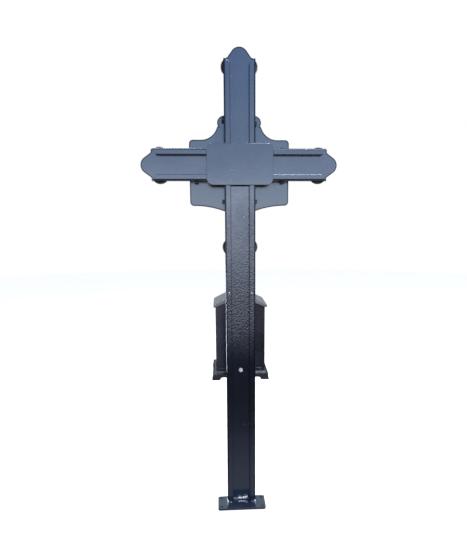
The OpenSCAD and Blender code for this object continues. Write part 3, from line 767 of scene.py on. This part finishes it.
rosette = {  # millimetres
    "lobeRadius": 30.0, "wall": 3.0, "rimHeight": 5.0, "petalRise": 8.0,
    "veinHeight": 0.9, "veinWidth": 1.5, "veinFrom": 15.0, "veinFull": 22.0, "veinToRim": 7.0,
    "fluteDepth": 0.35, "flutes": 15, "fanCentre": 4.0,
    "bossRadius": 10.6, "bossShoulder": 12.2, "bossRise": 5.4, "bossStep": 0.6, "bossFoot": (0.5, 0.3),
    "bossShares": (0.18, 0.36, 0.54, 0.70, 0.83, 0.93, 0.985),
    "beads": 12, "beadRing": 14.6, "beadHeight": 1.9, "beadWidth": 1.1, "beadRound": 0.7,
    "beadReaches": (12.0, 12.9, 13.7, 14.6, 15.5, 16.3, 17.2),
    "around": 176, "petalRings": 16,
    "hollowStart": 15.5, "hollowStep": 0.6, "hollowFloor": 2.6,
    # distance from the outline and height, from the front of the rim round to the hollow back
    "rimProfile": ((2.7, 5.7), (1.9, 6.3), (1.0, 6.2), (0.3, 5.5), (0.0, 4.4), (0.0, 2.6), (0.1, 0.9),
                   (0.6, 0.1), (1.2, 0.0), (2.2, 0.0), (2.7, 0.4), (3.0, 1.2), (3.1, 2.4)),
    # distance from the centre and height, on the back of the boss
    "bossBack": ((13.0, 5.0), (11.8, 3.8), (11.0, 2.4), (10.8, 0.4), (10.4, 0.0)),
}


def rosetteSurface(values, lobeCentre, reach, turn):
    # Front height at a distance from the centre, in the direction "turn" measured from the petal's middle
    along, aside = reach * cos(turn) - lobeCentre, reach * sin(turn)
    fromLobe = hypot(along, aside)
    footRadius = values["lobeRadius"] - values["wall"]
    ball = (footRadius ** 2 + values["petalRise"] ** 2) / (2 * values["petalRise"])
    dome = sqrt(max(ball ** 2 - fromLobe ** 2, 0.0)) - (ball - values["petalRise"])
    height = values["rimHeight"] + max(dome, 0.0)
    blend = smoothStep(values["veinFrom"], values["veinFull"], reach)
    blend *= smoothStep(footRadius, footRadius - values["veinToRim"], fromLobe)
    height += blend * values["veinHeight"] * exp(-(aside / values["veinWidth"]) ** 2)
    fan = atan2(aside, reach * cos(turn) - values["fanCentre"])
    height += blend * values["fluteDepth"] * cos(values["flutes"] * fan)
    return height


def buildRosette(nodeName, values):
    low, high = map(Vector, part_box(nodeName))
    centre = (low + high) / 2
    lobeCentre = (high.x - low.x) / 2 / mm - values["lobeRadius"]

    def ring(make):
        points = []
        for angle in turnsAround(values["around"]):
            turn = (angle + pi / 4) % (pi / 2) - pi / 4
            outline = sqrt(values["lobeRadius"] ** 2 - (lobeCentre * sin(turn)) ** 2)
            outline = lobeCentre * cos(turn) + outline
            reach, height = make(outline, turn, angle)
            points.append((centre.x + reach * cos(angle) * mm, high.y - height * mm,
                           centre.z + reach * sin(angle) * mm))
        return points

    def surface(reach, turn):
        return rosetteSurface(values, lobeCentre, reach, turn)

    def roundRing(reach, height):
        return ring(lambda outline, turn, angle: (reach, height))

    def beadedPoint(reach, turn, angle):
        bead = (0.5 + 0.5 * cos(values["beads"] * angle)) ** values["beadRound"]
        fall = exp(-((reach - values["beadRing"]) / values["beadWidth"]) ** 2)
        return reach, surface(reach, turn) + values["beadHeight"] * bead * fall

    def frontPoint(outline, turn, share):
        reach = petalStart + (outline - wall - petalStart) * share
        return reach, surface(reach, turn)

    def backPoint(outline, turn, share):
        reach = hollowStart + (outline - wall - values["hollowStep"] - hollowStart) * share
        return reach, max(surface(reach, turn) - wall, values["hollowFloor"])

    wall, hollowStart = values["wall"], values["hollowStart"]
    footReach, petalStart = values["beadReaches"][0], values["beadReaches"][-1]
    bossRadius, shoulder = values["bossRadius"], values["bossShoulder"]
    shares = [step / values["petalRings"] for step in range(1, values["petalRings"] + 1)]
    rings = [[(centre.x, high.y - (shoulder + values["bossRise"]) * mm, centre.z)]]
    for share in values["bossShares"]:
        rings.append(roundRing(bossRadius * share, shoulder + values["bossRise"] * sqrt(1 - share ** 2)))
    rings.append(roundRing(bossRadius, shoulder - values["bossStep"]))
    wider, higher = values["bossFoot"]
    rings.append(ring(lambda outline, turn, angle: (bossRadius + wider, surface(footReach, turn) + higher)))
    for reach in values["beadReaches"]:
        rings.append(ring(lambda outline, turn, angle: beadedPoint(reach, turn, angle)))
    for share in shares:
        rings.append(ring(lambda outline, turn, angle: frontPoint(outline, turn, share)))
    for inset, height in values["rimProfile"]:
        rings.append(ring(lambda outline, turn, angle: (outline - inset, height)))
    for share in reversed(shares):
        rings.append(ring(lambda outline, turn, angle: backPoint(outline, turn, share)))
    rings += [roundRing(reach, height) for reach, height in values["bossBack"]]
    rings.append([(centre.x, high.y, centre.z)])
    mesh = loftRings(nodeName + "_petals", rings)
    piece = newPiece(nodeName + "_petals", mesh, bodyOf[nodeName], slotOf[nodeName])
    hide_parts(nodeName)


for nodeName in ("rosette_top", "rosette_left", "rosette_right", "rosette_post"):
    buildRosette(nodeName, rosette)
print("rosettes: four castings with veined petals, beaded boss and hollow back")


fixing = {  # millimetres
    "pitch": 1.25, "threadDepth": 0.55, "threadLength": 17.0, "threadFade": 2.0, "stepsPerTurn": 8,
    "around": 48, "chamfer": 0.94, "boreClearance": 0.2, "shank": 4.0, "headHeight": 5.5,
    "cutSlope": 0.2,  # the threaded end is sawn off at a slant, its face looking a little upwards
    "endLength": 1.0, "endRings": ((0.75, 0.97), (0.4, 0.88), (0.12, 0.74), (0.0, 0.58)),
}


def axisPlace(low, high):
    # Points round the axis along Y in the middle of a box, with heights from its front
    centre = (low + high) / 2

    def place(reach, angle, height):
        return (centre.x + reach * sin(angle) * mm, low.y + height * mm,
                centre.z + reach * cos(angle) * mm)

    return place


def hexReach(flats, angle):
    turn = angle % (pi / 3) - pi / 6
    return flats / 2 / cos(turn)


def hexRings(place, flats, low, high, bore, values):
    # From the bore's edge round the outside and back; place takes a reach, an angle and a height
    chamferRadius = flats / 2 * values["chamfer"]
    turns = turnsAround(values["around"])

    def roundRing(reach, height):
        return [place(reach, turn, height) for turn in turns]

    def hexRing(height, sign):
        corners = [(hexReach(flats, turn), turn) for turn in turns]
        return [place(reach, turn, height + sign * (reach - chamferRadius) * 0.5) for reach, turn in corners]

    return [
        roundRing(bore, low), roundRing(chamferRadius, low), hexRing(low, 1),
        hexRing(high, -1), roundRing(chamferRadius, high), roundRing(bore, high),
    ]


def buildNut(values):
    low, high = map(Vector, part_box("lantern_nut"))
    place = axisPlace(low, high)
    flats = min(high.x - low.x, high.z - low.z) / mm
    bore = values["shank"] + values["boreClearance"]
    rings = hexRings(place, flats, 0.0, (high.y - low.y) / mm, bore, values)
    rings.append(rings[0])
    mesh = loftRings("lantern_nut_hex", rings)
    piece = newPiece("lantern_nut_hex", mesh, "cross", "zinc")
    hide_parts("lantern_nut")


def buildBolt(values):
    low, high = map(Vector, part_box("lantern_bolt"))
    place = axisPlace(low, high)
    flats = min(high.x - low.x, high.z - low.z) / mm
    length = (high.y - low.y) / mm
    headHeight, shank, count = values["headHeight"], values["shank"], values["around"]
    threadLength = values["threadLength"]
    threadStart = length - threadLength
    head = hexRings(place, flats, 0.0, headHeight, shank, values)
    rings = [[place(0.0, 0.0, 0.0)]] + head[1:5]

    def shankRing(height, taper=1.0):
        points = []
        for k in range(count):
            angle = 2 * pi * k / count
            phase = height / values["pitch"] - k / count
            groove = values["threadDepth"] * (0.5 + 0.5 * cos(2 * pi * phase))
            depth = groove * smoothStep(threadStart, threadStart + values["threadFade"], height)
            reach = (shank - depth) * taper
            sawn = values["cutSlope"] * (shank + reach * cos(angle))
            sawn = sawn * max(height - threadStart, 0.0) / threadLength
            points.append(place(reach, angle, height - sawn))
        return points

    rings.append(shankRing(headHeight))
    height = threadStart
    step = values["pitch"] / values["stepsPerTurn"]
    while height < length - values["endLength"]:
        rings.append(shankRing(height))
        height += step
    rings += [shankRing(length - short, taper) for short, taper in values["endRings"]]
    rings.append([place(0.0, 0.0, length - values["cutSlope"] * shank)])
    mesh = loftRings("lantern_bolt_threaded", rings)
    piece = newPiece("lantern_bolt_threaded", mesh, "cross", "zinc", "cutEnd")
    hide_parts("lantern_bolt")


buildNut(fixing)
buildBolt(fixing)


doorFront = 6.0  # millimetres from the back of the glass to the outer face of the door frame
knob = {
    "stem": 2.0, "stemEnd": 0.86, "stemChamfer": 0.3,  # the stem behind the door's face, in millimetres
    "narrowest": 0.30,
    # radius and distance from the door's face, as shares of the knob's own size
    "profile": [(0.30, 0.00), (0.62, 0.00), (0.66, 0.04), (0.60, 0.09), (0.40, 0.13), (0.34, 0.19),
                (0.42, 0.26), (0.68, 0.33), (0.90, 0.43), (0.995, 0.57), (0.96, 0.72), (0.82, 0.84),
                (0.60, 0.93), (0.44, 0.955), (0.36, 0.945), (0.24, 0.965), (0.12, 0.985)],
    "around": 56,
}


def buildKnob(values):
    low, high = map(Vector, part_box("door_knob"))
    glassHigh = Vector(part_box("door_glass")[1])
    centre = (low + high) / 2
    radius = (high.x - low.x) / 2
    face = glassHigh.y - doorFront * mm
    length = face - low.y
    stem = values["stem"] * mm
    turns = turnsAround(values["around"])

    def ring(reach, y):
        return [(centre.x + reach * sin(turn), y, centre.z + reach * cos(turn)) for turn in turns]

    rings = [[(centre.x, high.y, centre.z)], ring(stem * values["stemEnd"], high.y)]
    rings += [ring(stem, high.y - values["stemChamfer"] * mm), ring(stem, face)]
    rings += [ring(radius * max(r, values["narrowest"]), face - length * d) for r, d in values["profile"]]
    rings.append([(centre.x, low.y, centre.z)])
    mesh = loftRings("door_knob_turned", rings)
    piece = newPiece("door_knob_turned", mesh, "door", slotOf["door_knob"])
    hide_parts("door_knob")


buildKnob(knob)
print("fixings: threaded bolt, chamfered nut and turned knob")


welds = {  # millimetres
    "webFoot": {"radius": 5.2, "step": 4.2, "side": 31.0, "short": 3.0, "behind": 0.4, "ahead": 0.2,
                "rearRough": 0.25, "frontRough": 0.2},
    "railFoot": {"radius": 3.8, "step": 3.4, "rough": 0.25, "sideFrom": 2.0, "sideTo": 3.0,
                 "backFrom": 2.0, "backTo": 17.0, "backShare": 0.9},
    "bead": {"around": 14, "ringStep": 0.35, "fewestRings": 8, "ripple": 0.14, "endShare": 0.02,
             "noiseAlong": 0.45, "noiseRound": 3, "noiseShift": 7},
    # x, height over the plate, half width and half height of each bare spot at the web's foot
    "bareSpots": [(9.0, 7.6, 4.2, 3.0), (2.0, 6.6, 4.6, 3.4), (-6.5, 7.2, 4.8, 2.9),
                  (-13.5, 8.4, 4.0, 3.6), (-20.0, 10.2, 3.0, 3.4)],
    "bareLean": 19.0, "bareStand": 6.2, "bareClear": 1.0, "bareRise": 0.5,
    "sideSpot": {"across": 2.6, "tall": 4.6, "up": 5.0, "inside": 1.0, "stand": 1.6, "depth": 1.4},
    "plugMark": {"radius": 5.5, "slim": 0.38, "rise": 0.4, "height": 776.0, "aside": 38.0, "depth": 0.2,
                 "seed": 5.0},
    "ragged": {"around": 28, "unevenness": 0.35, "swirl": 2, "face": (0.35, 0.6, 0.8, 0.92, 1.0),
               "back": ((0.97, 0.5), (0.85, 1.0))},
}


def rippleBead(name, start, end, radius, step, rough, values):
    start, end = Vector(start), Vector(end)
    length = (end - start).length
    direction = (end - start).normalized()
    sideways = direction.cross(Vector((0, 0, 1))).normalized()
    upward = sideways.cross(direction)
    count = max(int(length / (values["ringStep"] * mm)), values["fewestRings"])
    swirl = values["noiseRound"]
    rings = [[start]]
    for i in range(count + 1):
        t = i / count
        middle = start.lerp(end, t)
        along = t * length
        fromEnds = max(0.0, 1 - along / radius, 1 - (length - along) / radius)
        ends = sqrt(max(1 - fromEnds ** 2, values["endShare"]))
        ripple = 1 - values["ripple"] + values["ripple"] * abs(sin(pi * along / step))
        ring = []
        for angle in turnsAround(values["around"]):
            spot = Vector((along / mm * values["noiseAlong"], swirl * cos(angle),
                           swirl * sin(angle) + radius / mm * values["noiseShift"]))
            reach = radius * ripple * ends * (1 + rough * noise.noise(spot))
            ring.append(middle + sideways * reach * cos(angle) + upward * reach * sin(angle))
        rings.append(ring)
    rings.append([end])
    newPiece(name, loftRings(name, rings), "cross", "frame_paint", "weld")


def raggedSpot(name, centre, across, tall, rise, leanDegrees, depth, seed, values):
    # A shallow bare lump with an uneven edge; its face looks back and leans upwards
    lean = radians(leanDegrees)
    outward = Vector((0.0, cos(lean), sin(lean)))
    upward = Vector((0.0, -sin(lean), cos(lean)))
    centre, swirl = Vector(centre), values["swirl"]

    def ring(share, lift):
        points = []
        for angle in turnsAround(values["around"]):
            spot = Vector((swirl * cos(angle), swirl * sin(angle), seed))
            ragged = 1 + values["unevenness"] * noise.noise(spot)
            side = Vector((sin(angle) * across * share * ragged, 0.0, 0.0))
            along = upward * cos(angle) * tall * share * ragged
            points.append(centre + (side + along + outward * lift) * mm)
        return points

    rings = [[centre + outward * rise * mm]]
    rings += [ring(share, rise * (1 - share ** 2)) for share in values["face"]]
    rings += [ring(share, -deep * depth) for share, deep in values["back"]]
    rings.append([centre - outward * depth * mm])
    newPiece(name, loftRings(name, rings), "cross", "frame_paint", "bareWeld")


def buildWelds(values):
    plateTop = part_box("foot_plate")[1][2]
    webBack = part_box("face_plate")[1][1]
    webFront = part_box("face_plate")[0][1]
    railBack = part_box("post_rail_left")[1][1]
    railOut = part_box("post_rail_right")[1][0]
    webFoot, railFoot, spot = values["webFoot"], values["railFoot"], values["sideSpot"]

    def bead(name, start, end, foot, rough, share=1.0):
        # Start and end are x and y on the foot plate's top
        rippleBead(name, (*start, plateTop), (*end, plateTop), foot["radius"] * mm * share, foot["step"] * mm,
                   rough, values["bead"])

    side, y = webFoot["side"] * mm, webBack + webFoot["behind"] * mm
    bead("weld_web_rear", (-side, y), (side, y), webFoot, webFoot["rearRough"])
    side, y = railOut - webFoot["short"] * mm, webFront - webFoot["ahead"] * mm
    bead("weld_web_front", (-side, y), (side, y), webFoot, webFoot["frontRough"])
    for index, (x, up, across, tall) in enumerate(values["bareSpots"]):
        place = (x * mm, webBack + values["bareStand"] * mm, plateTop + up * mm)
        raggedSpot("weld_web_bare_" + str(index), place, across, tall, values["bareRise"], values["bareLean"],
                   values["bareStand"] - values["bareClear"], index, values["ragged"])
    for label, sign in (("left", -1), ("right", 1)):
        x = sign * railOut
        start, end = webFront + railFoot["sideFrom"] * mm, railBack - railFoot["sideTo"] * mm
        bead("weld_side_" + label, (x, start), (x, end), railFoot, railFoot["rough"])
        first, last = (sign * (railOut - railFoot[key] * mm) for key in ("backFrom", "backTo"))
        bead("weld_back_" + label, (first, railBack), (last, railBack), railFoot, railFoot["rough"],
             railFoot["backShare"])
        x = sign * (railOut - spot["inside"] * mm)
        place = (x, railBack + spot["stand"] * mm, plateTop + spot["up"] * mm)
        raggedSpot("weld_glint_" + label, place, spot["across"], spot["tall"], values["bareRise"],
                   values["bareLean"], spot["depth"], sign, values["ragged"])


def buildPlugMarks(values, ragged):
    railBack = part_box("post_rail_left")[1][1]
    for label, sign in (("left", -1), ("right", 1)):
        place = (sign * values["aside"] * mm, railBack, values["height"] * mm)
        raggedSpot("plug_mark_" + label, place, values["radius"] * values["slim"], values["radius"],
                   values["rise"], 0.0, values["depth"], values["seed"] * sign, ragged)


buildWelds(welds)
buildPlugMarks(welds["plugMark"], welds["ragged"])
print("welds: foot beads, bare spots and plug marks")


trim = {  # millimetres
    "beadInset": 3.7, "beadSoftness": 0.25, "beadSharpDegrees": 50.0,
    # outwards from the opening's edge, and forward from the door's face
    "beadSection": [(0.0, 0.0), (0.0, -1.4), (0.8, -2.3), (2.2, -2.6), (3.4, -2.0), (4.0, -1.0), (4.0, 0.0)],
    "ridgeRadius": 3.6, "ridgeSunk": 0.6, "ridgeAround": 20,
    # distance from the roll's end, and share of its radius there
    "ridgeEnd": ((0.0, 0.6), (0.5, 0.85), (1.2, 1.0)),
}


def buildGlazingBead(values):
    # A small moulding round the opening on the door's outer face
    low, high = map(Vector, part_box("door_glass"))
    face = high.y - doorFront * mm
    inset = values["beadInset"] * mm
    left, right, bottom, top = low.x + inset, high.x - inset, low.z + inset, high.z - inset
    shape = bmesh.new()
    made = []
    corners = ((left, bottom, -1, -1), (right, bottom, 1, -1), (right, top, 1, 1), (left, top, -1, 1))
    for x, z, dx, dz in corners:
        section = [(x + dx * a * mm, face + b * mm, z + dz * a * mm) for a, b in values["beadSection"]]
        made.append([shape.verts.new(point) for point in section])
    made.append(made[0])
    for first, second in zip(made, made[1:]):
        for i in range(len(first)):
            j = (i + 1) % len(first)
            shape.faces.new((first[i], first[j], second[j], second[i]))
    bmesh.ops.recalc_face_normals(shape, faces=shape.faces)
    sharp = radians(values["beadSharpDegrees"])
    bevelEdges(shape, [e for e in shape.edges if e.calc_face_angle(0.0) > sharp], values["beadSoftness"] * mm)
    mesh = finishMesh("door_glazing_bead", shape)
    piece = newPiece("door_glazing_bead", mesh, "door", slotOf["lantern_door"], finishOf["lantern_door"])
    piece.modifiers.new("weighted", "WEIGHTED_NORMAL")


def buildRidgeRoll(values):
    low, high = map(Vector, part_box("lantern_roof"))
    middle = (low.x + high.x) / 2
    radius = values["ridgeRadius"] * mm
    centreZ = high.z - values["ridgeSunk"] * mm
    turns = turnsAround(values["ridgeAround"])

    def ring(y, share):
        return [(middle + radius * share * cos(turn), y, centreZ + radius * share * sin(turn))
                for turn in turns]

    rings = [[(middle, low.y, centreZ)]]
    rings += [ring(low.y + d * mm, share) for d, share in values["ridgeEnd"]]
    rings += [ring(high.y - d * mm, share) for d, share in reversed(values["ridgeEnd"])]
    rings.append([(middle, high.y, centreZ)])
    mesh = loftRings("lantern_ridge_roll", rings)
    newPiece("lantern_ridge_roll", mesh, "cross", slotOf["lantern_roof"])


buildGlazingBead(trim)
buildRidgeRoll(trim)
print("lantern: glazing bead and ridge roll")
